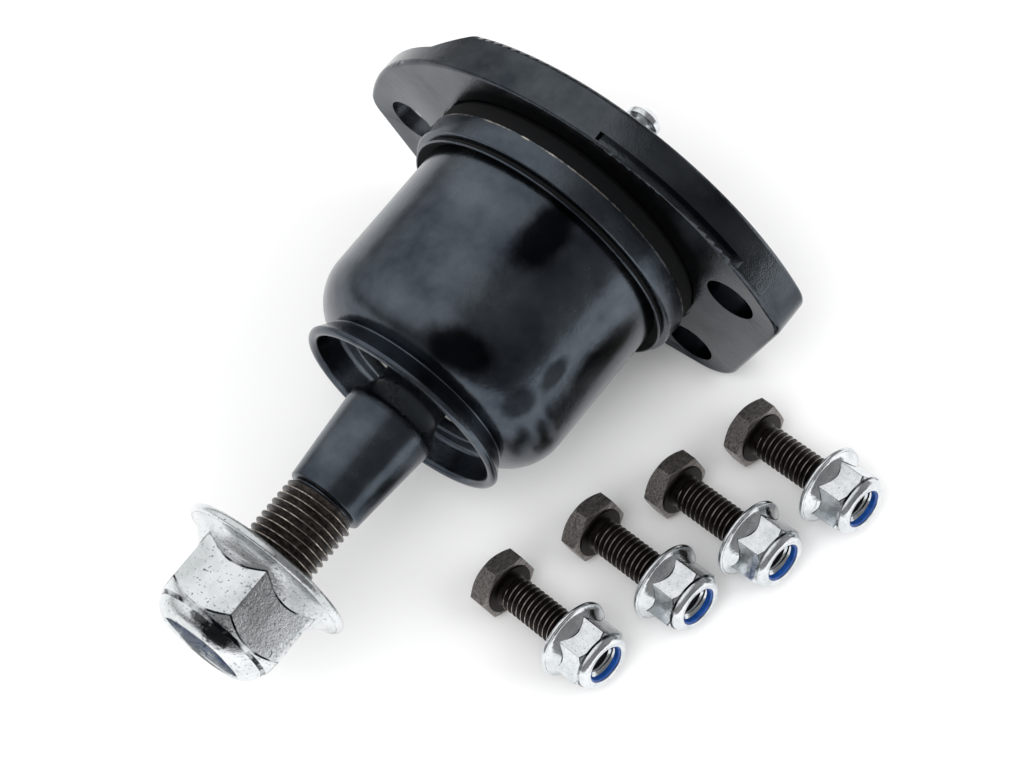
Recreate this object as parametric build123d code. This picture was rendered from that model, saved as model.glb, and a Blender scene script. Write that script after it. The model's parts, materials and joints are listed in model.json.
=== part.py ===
"""Suspension ball joint with its mounting plate, stud nut and four loose bolts with lock nuts.

Frame: X along the plate, -Y along the stud, +Z up; origin where the stud axis crosses the
plate's seating face.  The joint is drawn with its axis along +Z ("height" below) and is
turned into that frame when it is written.  Sizes are in millimetres.
"""
from build123d import *
import math
import os

# ---------------------------------------------------------------- driving dimensions
# clearances
running_gap = 0.05            # radial gap of threads and pins that turn
bearing_gap = 0.2             # gap between the ball and its bearing surfaces
fit_gap = 0.02                # gap between pieces that are pressed or screwed together for good
clear = 1.0                   # how far a cutting shape passes what it cuts
thread_crest_share = 0.12     # of the pitch, flat at the crest and at the root
thread_root_share = 0.12

# mounting plate
plate_thick = 7.2
plate_arc_drop = 13.1         # how far the arch's centre lies below the stud axis
plate_end_slope = 27.0        # slant of the ends, degrees
plate_shoulder_r = 5.5        # corners beside the arch
plate_foot_r = 9.0            # corners beside the straight side
plate_edge_break = 0.8
plate_slot_depth = 1.3        # shallow slot in the arched edge, below its thin lip
plate_slot_wide = 1.5
plate_lip = 0.5
plate_slot_from_x = 12.0
ear_thick = 3.4               # the left ear is thinner than the rest of the plate
ear_slope_from = 16.5         # where its back starts to rise and where it is level again, along -X
ear_slope_to = 24.8
ear_low = -10.0               # lower end of the thin ear
dome_r = 16.0                 # grease dome on the back of the plate
dome_rise = 6.4
dome_pad_r = 5.2
grease_way_r = 1.6

# bolt holes
hole_r = 4.4
hole_break = 0.3
wide_band_wall = 2.98         # between the clinch band and the upper holes
wide_angle = 2.15             # upper holes, above the stud axis, degrees
narrow_band_wall = 1.15       # between the clinch band and the lower holes
narrow_angle = 48.08          # lower holes, below the stud axis, degrees
arch_wall = 4.35              # between the upper holes and the arched edge
end_wall = 4.76               # between the upper holes and the slanted ends
foot_wall = 1.9               # between the lower holes and the straight side

# bell housing
bell_r = 22.7
bell_wall = 2.4
bell_flange_wide = 1.7
bell_flange_thick = 1.6
shoulder_start = 31.0         # height where the bell starts to close
shoulder_r = 9.0
shoulder_angle = 70.8         # how far round its arc the shoulder goes, degrees
collar_set_in = 5.3           # from the bell's side to the collar's neck
collar_flare = 1.4
collar_foot_rise = 0.4        # height of the bend at the collar's foot
collar_length = 3.7
collar_wall = 1.8
collar_wall_at_foot = 1.0
mouth_drop = 1.5              # ledge inside the collar, below the collar's foot
ledge_wide = 3.0
mouth_thick = 2.0
inner_shoulder = 3.15         # how far the inside closes at the ledge

# clinch band
band_wall = 1.1
band_step_in = 0.9
band_lip_in = 1.7
band_step = 4.3               # height of the wide step
band_height = 7.6
band_lip_height = 1.3
band_bend = 0.4               # rounding and slant of the band's corners
band_seat_deep = 0.3          # recess in the plate that the band and the bell stand in

# seal ring under the bell flange
seal_set_in = 1.1             # from the bell's side to the middle of the seal
seal_wide = 2.2
seal_deep = 1.0

# ball and stud
ball_height = 24.0
ball_r = 12.7
split_gap = 0.1               # half the gap between the two half balls
peg_r = 5.0
peg_length = 7.0
peg_end_gap = 0.4
neck_r = 6.0
taper_start = 46.5
taper_r = 7.85
taper_end = 61.8
taper_end_r = 6.6
shoulder_rise = 4.0
thread_relief = 0.6           # between the taper and the thread
thread_major = 12.7
thread_pitch = 1.27
thread_depth = 0.62
thread_length = 21.6
stud_chamfer = 0.9
neck_widen_from = 1.5         # below the shoulder
neck_widen = 0.5
shoulder_steps = [(0.7, 2.0), (0.2, 1.0)]     # in from its radius, back from its height

# bearings
shell_wall = 3.0
shell_hole_r = 2.7
shell_rim_angle = 62.0        # from the back pole, degrees
plate_thick_at_pole = 2.0     # pressure plate, at its thinnest
pressure_plate_top = 14.0
bearing_side_gap = 0.15
seat_lip_angle = 54.0         # where the seat lets go of the ball, degrees from the stud side
spring_side_gap = 1.8
spring_inner_r = 8.5
spring_thick = 1.5
spring_rim = 0.6              # flat on each rim of a disc spring

# stud nut
stud_in_nut = 9.0             # how far the stud reaches into the nut
nut_flange_r = 14.9
nut_flange_edge = 1.5
nut_flange_rise = 3.2
nut_root_r = 11.6
nut_across_flats = 20.6
nut_hex_top = 12.2            # heights above the bearing face
nut_height = 16.6
nut_insert_drop = 5.4         # its foot, below the nut's end
nut_insert_wide = 3.0
nut_insert_wall = 1.5
nut_crown_r = 9.8
nut_crown_round = 3.2
nut_mouth_r = 7.0
nut_edge_share = 0.3          # of the flange's edge, taken off each of its corners
nut_dish_share = 0.35         # of the flange's rise, reached at its middle radius

# grease fitting
fitting_thread_r = 2.9
fitting_thread_length = 5.0
fitting_across_flats = 8.0
fitting_hex_height = 3.0
fitting_neck_r = 2.1
fitting_head_r = 3.1
fitting_length = 8.8          # stands out of the dome
fitting_way_r = 1.25
fitting_root_flare = 0.6
fitting_root_length = 1.2
fitting_head_low = 3.0        # heights of the head's corners, below the tip
fitting_head_from = 2.2
fitting_head_to = 1.3
fitting_tip_slant = 1.5
fitting_nose = 0.9            # wall over the check ball
check_ball_r = 1.0
check_gap = 0.15
check_seat_share = 0.7        # radius of the seat's hole, of the ball's
check_seat_gap = 0.05
check_spring_stop = 1.0
check_spring_wire = 0.22
check_spring_turns = 5
check_travel = 0.65

# loose bolts and lock nuts
bolt_major = 6.0
bolt_pitch = 1.0
bolt_thread_depth = 0.5
bolt_length = 20.0
bolt_head = 3.6
bolt_across_flats = 10.0
bolt_tip_chamfer = 0.6
bolt_thread_from = 1.0
bolt_washer_r = 4.4
bolt_washer_rise = 0.3
bolt_bevel_in = 0.7
bolt_bevel_angle = 30.0
bolt_roll = 10.0              # of the head's lowest corner from straight down
lock_nut_roll = 30.0
lock_nut_face = 14.2          # from under the head
lock_nut_height = 7.9
lock_flange_r = 6.8
lock_flange_edge = 0.8
lock_root_r = 5.4
lock_hex_top = 5.9
lock_crown_r = 4.9
lock_crown_round = 1.2
lock_across_flats = 9.6
lock_mouth_r = 3.6
lock_insert_drop = 1.3
lock_insert_wide = 1.0
lock_insert_wall = 0.95
bolt_yaw = -5.6
bolt_places = [(23.0, -51.4), (29.2, -35.5), (35.8, -22.1), (41.0, -7.6)]

# ---------------------------------------------------------------- worked out from them
ball_bearing_r = ball_r + bearing_gap
shell_outer_r = ball_bearing_r + shell_wall
bell_bore_r = bell_r - bell_wall
bell_flange_r = bell_r + bell_flange_wide
band_r = bell_flange_r + band_wall
seal_mean_r = bell_r - seal_set_in
wide_reach = band_r + wide_band_wall + hole_r
wide_x = wide_reach * math.cos(math.radians(wide_angle))
wide_y = wide_reach * math.sin(math.radians(wide_angle))
narrow_reach = band_r + narrow_band_wall + hole_r
narrow_x = narrow_reach * math.cos(math.radians(narrow_angle))
narrow_y = -narrow_reach * math.sin(math.radians(narrow_angle))
end_slope = math.radians(plate_end_slope)
plate_arc_r = math.hypot(wide_x, wide_y + plate_arc_drop) + hole_r + arch_wall
plate_half_wide = wide_x - wide_y * math.tan(end_slope) + (hole_r + end_wall) / math.cos(end_slope)
plate_foot = -narrow_y + hole_r + foot_wall
collar_foot = shoulder_start + shoulder_r * math.sin(math.radians(shoulder_angle))
collar_neck_r = bell_r - collar_set_in
collar_r = collar_neck_r + collar_flare
collar_top = collar_foot + collar_length
inner_neck_r = collar_neck_r - collar_wall_at_foot
mouth_r = inner_neck_r - ledge_wide
mouth_floor = collar_foot - mouth_drop
spring_outer_r = bell_bore_r - spring_side_gap
thread_start = taper_end + thread_relief
stud_end = thread_start + thread_length
nut_face = stud_end - stud_in_nut
dome_sphere_r = (dome_r ** 2 + dome_rise ** 2) / (2 * dome_rise)
dome_back = -plate_thick - dome_rise
pressure_back = ball_height - shell_outer_r - bearing_gap - plate_thick_at_pole
nut_bore_r = thread_major / 2 + running_gap
nut_insert_r = nut_bore_r + nut_insert_wall
nut_insert_from = nut_height - nut_insert_drop
lock_bore_r = bolt_major / 2 + running_gap
lock_insert_r = lock_bore_r + lock_insert_wall
lock_insert_from = lock_nut_height - lock_insert_drop
bolt_corner_r = bolt_across_flats / math.sqrt(3)
bolt_head_rest = bolt_corner_r * math.cos(math.radians(bolt_roll))
bolt_nose_up = math.degrees(math.atan((lock_flange_r - bolt_head_rest) / (lock_nut_face + lock_flange_edge)))


# ---------------------------------------------------------------- small helpers
def lathe(points):
    """A solid turned about the Z axis from (radius, height) points."""
    face = make_face(Polyline(*points, close=True))
    return revolve(Plane.XZ * face, Axis.Z)


def rod(radius, low, high):
    """A plain cylinder between two heights."""
    return Pos(0, 0, low) * extrude(Circle(radius), amount=high - low)


def tube(outer_r, inner_r, low, high):
    """A plain ring between two heights."""
    return Pos(0, 0, low) * extrude(Circle(outer_r) - Circle(inner_r), amount=high - low)


def hexagon(across_flats, low, high):
    """A hexagonal prism with a corner on the X axis."""
    side = RegularPolygon(across_flats / 2, 6, major_radius=False)
    return Pos(0, 0, low) * extrude(side, amount=high - low)


def thread_profile(major_r, pitch, depth, start, end, chamfer):
    """Outline of a threaded shank: (radius, height) points from start to end."""
    points = []
    crest = thread_crest_share / 2 * pitch
    root = thread_root_share / 2 * pitch
    count = int((end - chamfer - start) / pitch)
    for turn in range(count):
        low = start + turn * pitch
        middle = low + pitch / 2
        points += [(major_r, low + crest), (major_r - depth, middle - root)]
        points += [(major_r - depth, middle + root), (major_r, low + pitch - crest)]
    points += [(major_r, end - chamfer), (major_r - chamfer, end)]
    return points


def stand(shape):
    """Turn a shape drawn along +Z so that its +Z runs along -Y."""
    return Rot(90, 0, 0) * shape


# ---------------------------------------------------------------- plate, bell and band
def bolt_hole_places():
    return [(side * x, y) for x, y in ((wide_x, wide_y), (narrow_x, narrow_y)) for side in (-1, 1)]


def plate_outline():
    slope = math.tan(end_slope)
    top = plate_arc_r
    ends = [
        (-plate_half_wide - slope * top, top),
        (plate_half_wide + slope * top, top),
        (plate_half_wide - slope * plate_foot, -plate_foot),
        (-plate_half_wide + slope * plate_foot, -plate_foot),
    ]
    arch = Pos(0, -plate_arc_drop) * Circle(plate_arc_r)
    return make_face(Polyline(*ends, close=True)) & arch


def plate_slot():
    """The slot along the right half of the arched edge, just below the thin lip."""
    ring = Circle(plate_arc_r + clear) - Circle(plate_arc_r - plate_slot_depth)
    reach = 2 * plate_arc_r
    side = Pos(plate_slot_from_x + reach / 2, plate_arc_drop + reach / 2) * Rectangle(reach, reach)
    cut = (Pos(0, -plate_arc_drop) * ring) & side
    return Pos(0, 0, -plate_lip - plate_slot_wide) * extrude(cut, amount=plate_slot_wide)


def ear_relief():
    """What is taken off the plate's back to leave the left ear thinner."""
    reach = 2 * plate_arc_r
    below = -plate_thick - clear
    side = Polyline((-ear_slope_from, below), (-ear_slope_from, -plate_thick), (-ear_slope_to, -ear_thick),
                    (-reach, -ear_thick), (-reach, below), close=True)
    return Pos(0, ear_low, 0) * extrude(Plane.XZ * make_face(side), amount=-reach)


def bolt_hole(thick):
    return lathe([
        (0, clear), (hole_r + hole_break + clear, clear), (hole_r + hole_break, 0), (hole_r, -hole_break),
        (hole_r, -thick + hole_break), (hole_r + hole_break, -thick),
        (hole_r + hole_break + clear, -thick - clear), (0, -thick - clear),
    ])


def mounting_plate():
    plate = Pos(0, 0, -plate_thick) * extrude(plate_outline(), amount=plate_thick)
    corners = plate.edges().filter_by(Axis.Z).sort_by(Axis.Y)
    plate = fillet(corners[:2], plate_foot_r)
    corners = plate.edges().filter_by(Axis.Z).sort_by(Axis.Y)
    plate = fillet(corners[-2:], plate_shoulder_r)
    plate = fillet(plate.faces().sort_by(Axis.Z)[-1].outer_wire().edges(), plate_edge_break)
    plate = fillet(plate.faces().sort_by(Axis.Z)[0].outer_wire().edges(), plate_edge_break)
    plate -= plate_slot()
    plate -= ear_relief()
    dome_centre = -plate_thick - dome_rise + dome_sphere_r
    dome = Pos(0, 0, dome_centre) * Sphere(dome_sphere_r)
    plate += dome & rod(dome_r, dome_back - clear, -plate_thick)
    plate += rod(dome_pad_r, dome_back, -plate_thick)
    for x, y in bolt_hole_places():
        thick = ear_thick if x < -ear_slope_to else plate_thick
        plate -= Pos(x, y, 0) * bolt_hole(thick)
    plate -= tube(band_r + fit_gap, bell_bore_r, -band_seat_deep, clear)
    half_seal = seal_wide / 2
    plate -= tube(seal_mean_r + half_seal, seal_mean_r - half_seal, -band_seat_deep - seal_deep, clear)
    plate -= rod(grease_way_r, dome_back - clear, clear)
    plate -= rod(fitting_thread_r + fit_gap, dome_back - clear, dome_back + fitting_thread_length + fit_gap)
    return plate


def housing_bell():
    centre_r = bell_r - shoulder_r
    angle = math.radians(shoulder_angle)
    end = (centre_r + shoulder_r * math.cos(angle), collar_foot)
    middle = (centre_r + shoulder_r * math.cos(angle / 2), shoulder_start + shoulder_r * math.sin(angle / 2))
    lip = collar_wall / 2
    lip_height = collar_top - lip
    foot = -band_seat_deep
    outer = Polyline((bell_bore_r, foot), (bell_flange_r, foot), (bell_flange_r, bell_flange_thick),
                     (bell_r, bell_flange_thick), (bell_r, shoulder_start))
    shoulder = ThreePointArc((bell_r, shoulder_start), middle, end)
    neck = Polyline(end, (collar_neck_r, collar_foot + collar_foot_rise), (collar_r, lip_height))
    rim = ThreePointArc((collar_r, lip_height), (collar_r - lip, collar_top),
                        (collar_r - collar_wall, lip_height))
    ledge_foot = mouth_floor - mouth_thick
    inner = Polyline((collar_r - collar_wall, lip_height), (inner_neck_r, mouth_floor + collar_wall_at_foot),
                     (inner_neck_r, mouth_floor), (mouth_r, mouth_floor), (mouth_r, ledge_foot),
                     (bell_bore_r - inner_shoulder, ledge_foot), (bell_bore_r, shoulder_start),
                     (bell_bore_r, foot))
    face = make_face([*outer.edges(), *shoulder.edges(), *neck.edges(), *rim.edges(), *inner.edges()])
    return revolve(Plane.XZ * face, Axis.Z)


def clinch_band():
    inner_r = bell_r + fit_gap
    over_r = bell_flange_r + fit_gap
    step_r = band_r - band_step_in
    lip_r = band_r - band_lip_in
    lip_foot = band_height - band_lip_height
    foot_r = band_r - band_seat_deep - band_bend
    return lathe([
        (over_r, -band_seat_deep), (foot_r, -band_seat_deep), (band_r, band_bend),
        (band_r, band_step - band_bend), (band_r - band_bend, band_step),
        (step_r, band_step + band_bend), (step_r, lip_foot - band_bend),
        (lip_r, lip_foot), (lip_r, band_height - band_bend), (lip_r - band_bend, band_height),
        (inner_r, band_height), (inner_r, bell_flange_thick), (over_r, bell_flange_thick),
    ])


def cover_seal():
    half = seal_wide / 2 - fit_gap
    return tube(seal_mean_r + half, seal_mean_r - half, -band_seat_deep - seal_deep, -band_seat_deep)


# ---------------------------------------------------------------- ball, stud and bearings
def ball_at_height(radius):
    return Pos(0, 0, ball_height) * Sphere(radius)


def ball_stud():
    near_half = rod(ball_r + clear, ball_height + split_gap, ball_height + ball_r + clear)
    half_ball = ball_at_height(ball_r) & near_half
    peg = rod(peg_r, ball_height - peg_length, ball_height + ball_r / 2)
    neck_foot = ball_height + ball_r / 2
    shoulder_foot = taper_start - shoulder_rise
    points = [(0, neck_foot), (neck_r, neck_foot), (neck_r, shoulder_foot - neck_widen_from)]
    points += [(neck_r + neck_widen, shoulder_foot)]
    points += [(taper_r - inset, taper_start - back) for inset, back in shoulder_steps]
    points += [(taper_r, taper_start), (taper_end_r, taper_end)]
    thread_r = thread_major / 2
    points += [(thread_r - thread_depth, taper_end + thread_relief / 2)]
    points += thread_profile(thread_r, thread_pitch, thread_depth, thread_start, stud_end, stud_chamfer)
    points += [(0, stud_end)]
    return half_ball + peg + lathe(points)


def ball_cap():
    back_half = rod(ball_r + clear, ball_height - ball_r - clear, ball_height - split_gap)
    half_ball = ball_at_height(ball_r) & back_half
    bore = rod(peg_r + running_gap, ball_height - peg_length - peg_end_gap, ball_height + clear)
    return half_ball - bore


def bearing_shell():
    rim = math.radians(shell_rim_angle)
    shell = ball_at_height(shell_outer_r) - ball_at_height(ball_bearing_r)
    reach = shell_outer_r + clear
    cone = lathe([(0, ball_height), (reach * math.sin(rim), ball_height - reach * math.cos(rim)),
                  (reach * math.sin(rim), ball_height - 2 * reach), (0, ball_height - 2 * reach)])
    shell &= cone
    return shell - rod(shell_hole_r, ball_height - 2 * reach, ball_height)


def pressure_plate():
    outer_r = bell_bore_r - bearing_side_gap
    disc = tube(outer_r, grease_way_r, pressure_back, pressure_plate_top)
    return disc - ball_at_height(shell_outer_r + bearing_gap)


def preload_spring():
    """Two disc springs, their outer rims together."""
    middle = pressure_back / 2
    inner_rim = spring_inner_r + spring_rim
    outer_rim = spring_outer_r - spring_rim
    lower = lathe([(spring_inner_r, 0), (inner_rim, 0), (spring_outer_r, middle - spring_thick),
                   (spring_outer_r, middle), (outer_rim, middle), (spring_inner_r, spring_thick)])
    upper = lathe([(spring_inner_r, pressure_back), (inner_rim, pressure_back),
                   (spring_outer_r, middle + spring_thick), (spring_outer_r, middle),
                   (outer_rim, middle), (spring_inner_r, pressure_back - spring_thick)])
    return Compound([*lower.solids(), *upper.solids()])


def bearing_seat():
    """The fixed seat between the ball and the closed end of the bell."""
    lip = math.radians(seat_lip_angle)
    lip_r = ball_bearing_r * math.sin(lip)
    lip_height = ball_height + ball_bearing_r * math.cos(lip)
    top = mouth_floor - mouth_thick
    side_r = bell_bore_r - bearing_side_gap
    top_r = side_r - inner_shoulder
    block = lathe([(0, ball_height), (side_r, ball_height), (side_r, shoulder_start), (top_r, top),
                   (mouth_r, top), (lip_r, lip_height), (0, lip_height)])
    return block - ball_at_height(ball_bearing_r)


# ---------------------------------------------------------------- stud nut
def flange_nut(sizes):
    """A flanged hexagon nut with a rounded crown, its bearing face at height 0."""
    flange_r, edge, rise, root_r, flats, hex_top, height, crown_r, crown_round, mouth_r, bore_r = sizes
    dish = edge + (rise - edge) * nut_dish_share
    corner = edge * nut_edge_share
    flange = lathe([(0, 0), (flange_r - corner, 0), (flange_r, corner), (flange_r, edge - corner),
                    (flange_r - corner, edge), ((flange_r + root_r) / 2, dish), (root_r, rise), (0, rise)])
    corner_r = flats / math.sqrt(3)
    drop = corner_r - flats / 2
    body = hexagon(flats, edge / 2, hex_top + drop)
    body &= lathe([(0, 0), (corner_r + clear, 0), (corner_r + clear, hex_top - drop),
                   (crown_r, hex_top + drop), (0, hex_top + drop)])
    bend = crown_round * (1 - math.cos(math.radians(45)))
    crown = lathe([(0, edge), (crown_r, edge), (crown_r, height - crown_round),
                   (crown_r - bend, height - bend), (crown_r - crown_round, height), (0, height)])
    nut = flange + body + crown
    return nut - rod(bore_r, -clear, height + clear) - rod(mouth_r, height - crown_round / 2, height + clear)


def stud_nut():
    sizes = (nut_flange_r, nut_flange_edge, nut_flange_rise, nut_root_r, nut_across_flats,
             nut_hex_top, nut_height, nut_crown_r, nut_crown_round, nut_mouth_r, nut_bore_r)
    nut = flange_nut(sizes) - rod(nut_insert_r, nut_insert_from, nut_insert_from + nut_insert_wide)
    return Pos(0, 0, nut_face) * nut


def stud_nut_insert():
    ring = tube(nut_insert_r - fit_gap, nut_bore_r, nut_insert_from, nut_insert_from + nut_insert_wide)
    return Pos(0, 0, nut_face) * ring


# ---------------------------------------------------------------- grease fitting
def fitting_seat_height():
    return dome_back - fitting_length


def grease_fitting_body():
    tip = fitting_seat_height()
    hex_foot = dome_back - fitting_hex_height
    body = rod(fitting_thread_r, dome_back, dome_back + fitting_thread_length)
    body += hexagon(fitting_across_flats, hex_foot, dome_back)
    body += lathe([(0, hex_foot), (fitting_neck_r + fitting_root_flare, hex_foot),
                   (fitting_neck_r, hex_foot - fitting_root_length), (fitting_neck_r, tip + fitting_head_low),
                   (fitting_head_r, tip + fitting_head_from), (fitting_head_r, tip + fitting_head_to),
                   (fitting_head_r - fitting_tip_slant, tip), (0, tip)])
    body -= rod(fitting_way_r, tip + fitting_nose, dome_back + fitting_thread_length + clear)
    return body - rod(check_ball_r * check_seat_share, tip - clear, tip + clear)


def check_ball_height():
    rise = check_ball_r * math.sqrt(1 - check_seat_share ** 2)
    return fitting_seat_height() + fitting_nose + rise + check_seat_gap


def grease_check_ball():
    return Pos(0, 0, check_ball_height()) * Sphere(check_ball_r)


def grease_check_spring():
    start = check_ball_height() + check_ball_r + check_travel + check_spring_wire
    end = dome_back - check_spring_stop
    pitch = (end - start) / check_spring_turns
    mean_r = fitting_way_r - check_spring_wire - check_gap
    path = Pos(0, 0, start) * Helix(pitch, end - start, mean_r)
    section = Plane(origin=path @ 0, z_dir=path % 0) * Circle(check_spring_wire)
    return sweep(section, path=path, is_frenet=True)


# ---------------------------------------------------------------- loose bolts
def hex_bolt():
    """A bolt drawn along +Z, the underside of its head at height 0."""
    bevel_height = (bolt_bevel_in + clear) * math.tan(math.radians(bolt_bevel_angle)) - bolt_head
    head = Rot(0, 0, bolt_roll - lock_nut_roll) * hexagon(bolt_across_flats, -bolt_head, 0)
    head &= lathe([(0, 0), (bolt_corner_r + clear, 0), (bolt_corner_r + clear, bevel_height),
                   (bolt_corner_r - bolt_bevel_in, -bolt_head), (0, -bolt_head)])
    washer = rod(bolt_washer_r, 0, bolt_washer_rise)
    thread = thread_profile(bolt_major / 2, bolt_pitch, bolt_thread_depth, bolt_thread_from, bolt_length,
                            bolt_tip_chamfer)
    shank = lathe([(0, 0), (bolt_major / 2 - bolt_thread_depth, 0)] + thread + [(0, bolt_length)])
    return head + washer + shank


def lock_nut():
    sizes = (lock_flange_r, lock_flange_edge, lock_flange_edge * 2.2, lock_root_r, lock_across_flats,
             lock_hex_top, lock_nut_height, lock_crown_r, lock_crown_round, lock_mouth_r, lock_bore_r)
    nut = flange_nut(sizes) - rod(lock_insert_r, lock_insert_from, lock_insert_from + lock_insert_wide)
    return Pos(0, 0, lock_nut_face) * nut


def lock_nut_insert():
    ring = tube(lock_insert_r - fit_gap, lock_bore_r, lock_insert_from, lock_insert_from + lock_insert_wide)
    return Pos(0, 0, lock_nut_face) * ring


def lay_down(shape, place):
    """Lay a bolt piece on the level of the plate's foot, on a corner of its head and the nut's flange."""
    x, y = place
    nose = math.radians(bolt_nose_up)
    height = -plate_foot + bolt_head_rest * math.cos(nose)
    lying = Rot(0, 0, bolt_yaw) * Rot(0, 90 - bolt_nose_up, 0) * Rot(0, 0, lock_nut_roll)
    return Pos(x, y, height) * lying * shape


# ---------------------------------------------------------------- write the pieces
def joint_pieces():
    return {
        "mounting_plate": mounting_plate(),
        "housing_bell": housing_bell(),
        "clinch_band": clinch_band(),
        "cover_seal": cover_seal(),
        "ball_stud": ball_stud(),
        "ball_cap": ball_cap(),
        "bearing_shell": bearing_shell(),
        "pressure_plate": pressure_plate(),
        "preload_spring": preload_spring(),
        "bearing_seat": bearing_seat(),
        "stud_nut": stud_nut(),
        "stud_nut_insert": stud_nut_insert(),
        "grease_fitting_body": grease_fitting_body(),
        "grease_check_ball": grease_check_ball(),
        "grease_check_spring": grease_check_spring(),
    }


def loose_pieces():
    made = {"mounting_bolt": hex_bolt(), "lock_nut": lock_nut(), "lock_nut_insert": lock_nut_insert()}
    pieces = {}
    for number, place in enumerate(bolt_places, start=1):
        for name, shape in made.items():
            pieces[f"{name}_{number}"] = lay_down(shape, place)
    return pieces


os.makedirs("parts", exist_ok=True)
for name, shape in joint_pieces().items():
    export_step(stand(shape), f"parts/{name}.step")
for name, shape in loose_pieces().items():
    export_step(shape, f"parts/{name}.step")
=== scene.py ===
"""Suspension ball joint: detailed pieces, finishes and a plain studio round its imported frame.

The frame has X along the mounting plate, -Y along the stud and +Z up.  A turned piece is drawn
along +Z from (radius, height) points and is then stood on its own axis.  Lengths are metres.
"""
import json
import math
import bmesh
import bpy
from bpy.props import FloatProperty, FloatVectorProperty, IntProperty, PointerProperty, StringProperty
from mathutils import Matrix, Vector


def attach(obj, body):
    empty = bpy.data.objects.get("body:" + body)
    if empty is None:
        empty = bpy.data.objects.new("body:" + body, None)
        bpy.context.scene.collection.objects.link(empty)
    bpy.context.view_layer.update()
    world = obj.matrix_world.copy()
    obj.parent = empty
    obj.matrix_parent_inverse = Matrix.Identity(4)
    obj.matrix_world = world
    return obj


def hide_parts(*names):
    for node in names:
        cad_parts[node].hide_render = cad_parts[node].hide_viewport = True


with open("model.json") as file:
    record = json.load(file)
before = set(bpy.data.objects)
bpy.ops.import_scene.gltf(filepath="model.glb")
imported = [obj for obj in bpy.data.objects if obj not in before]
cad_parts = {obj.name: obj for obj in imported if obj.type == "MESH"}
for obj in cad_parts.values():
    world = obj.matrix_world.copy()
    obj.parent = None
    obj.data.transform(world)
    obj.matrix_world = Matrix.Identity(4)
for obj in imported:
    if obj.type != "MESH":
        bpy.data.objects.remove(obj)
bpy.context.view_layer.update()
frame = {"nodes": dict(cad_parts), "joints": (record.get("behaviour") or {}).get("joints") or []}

bl_info = {
    "name": "Ball joint dressing",
    "version": (1, 0, 0),
    "blender": (4, 5, 0),
    "location": "3D View > Sidebar > Ball joint",
    "description": "Builds the detailed pieces and finishes of a suspension ball joint",
    "category": "Add Mesh",
}

MM = 0.001
RENDER_WIDTH = 1024           # pixels
SENSOR_WIDTH = 36.0           # camera sensor, millimetres
ROUND_STEP = 12.0             # degrees of a rounded corner per facet
SHARP_ANGLE = math.radians(32)
WELD = 0.002 * MM
FULL_TURN = 2 * math.pi
HEX_SIDE = math.pi / 3        # turn of a hexagon's side about its axis

# A thread's rows: how far along its pitch and how far out to its crest.
THREAD_FORM = [(0.0, 1.0), (0.07, 0.96), (0.43, 0.06), (0.5, 0.0), (0.57, 0.06), (0.93, 0.96)]
# Rows of the crest that are painted with a highlight.
CREST_HIGHLIGHT_ROWS = (0, 5)         # rows of that form on each side of the crest
FLANGE_HOLLOW = 1.7           # power of the hollow on a nut's flange
FLANGE_STEPS = 7              # rows over that hollow
CONE_REACH = 1 * MM           # how far past the corners a nut's chamfer cone starts
CROWN_STEPS = 12              # rows round a nut's crown
NUT_CORNER_ROWS = (0, 1, 3, 4, 6, 7)         # rows of its corners, from the flange's root, painted with a dark reflection
BAND_SOFT = 0.3 * MM          # rounding of the clinch band's edges
INSERT_CLEAR = 0.02 * MM      # gap round a nylon insert
WASHER_BLEND = 0.02 * MM      # spread of the washer face at its foot

# Dark patches: where they are, how far they reach, in mm, and how much they cover. Those on the bell are
# painted reflections of dark things round it; those on the stud's nut are dark spots on its crown, hexagon and
# flange.
BELL_PAINTED_REFLECTIONS = [
    ((10.7, -13.2, 20.0), (3.8, 7.0, 3.8), 0.9), ((11.5, -35.5, 18.6), (8.0, 4.2, 4.2), 0.9),
    ((20.0, -34.6, 8.9), (2.8, 3.2, 2.8), 0.7), ((21.1, -27.6, 8.3), (2.0, 3.6, 2.0), 0.7),
    ((21.9, -20.0, 2.0), (3.5, 12.0, 3.5), 0.9),
]
NUT_DARK_SPOTS = [
    ((5.0, -89.8, 8.0), (3.2, 2.0, 3.2), 0.95), ((2.0, -89.3, 9.4), (2.2, 1.3, 2.2), 0.9),
    ((8.9, -82.0, 5.2), (5.5, 8.0, 7.0), 0.35), ((12.2, -77.3, 6.0), (5.0, 3.0, 6.0), 0.2),
]
# Brightness of the mirrored room, from its dim side to its white side.
ROOM_SHADES = [(0.0, 0.45), (0.25, 0.25), (0.6, 0.28), (0.76, 0.2), (0.84, 0.75), (0.93, 1.0)]

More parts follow.
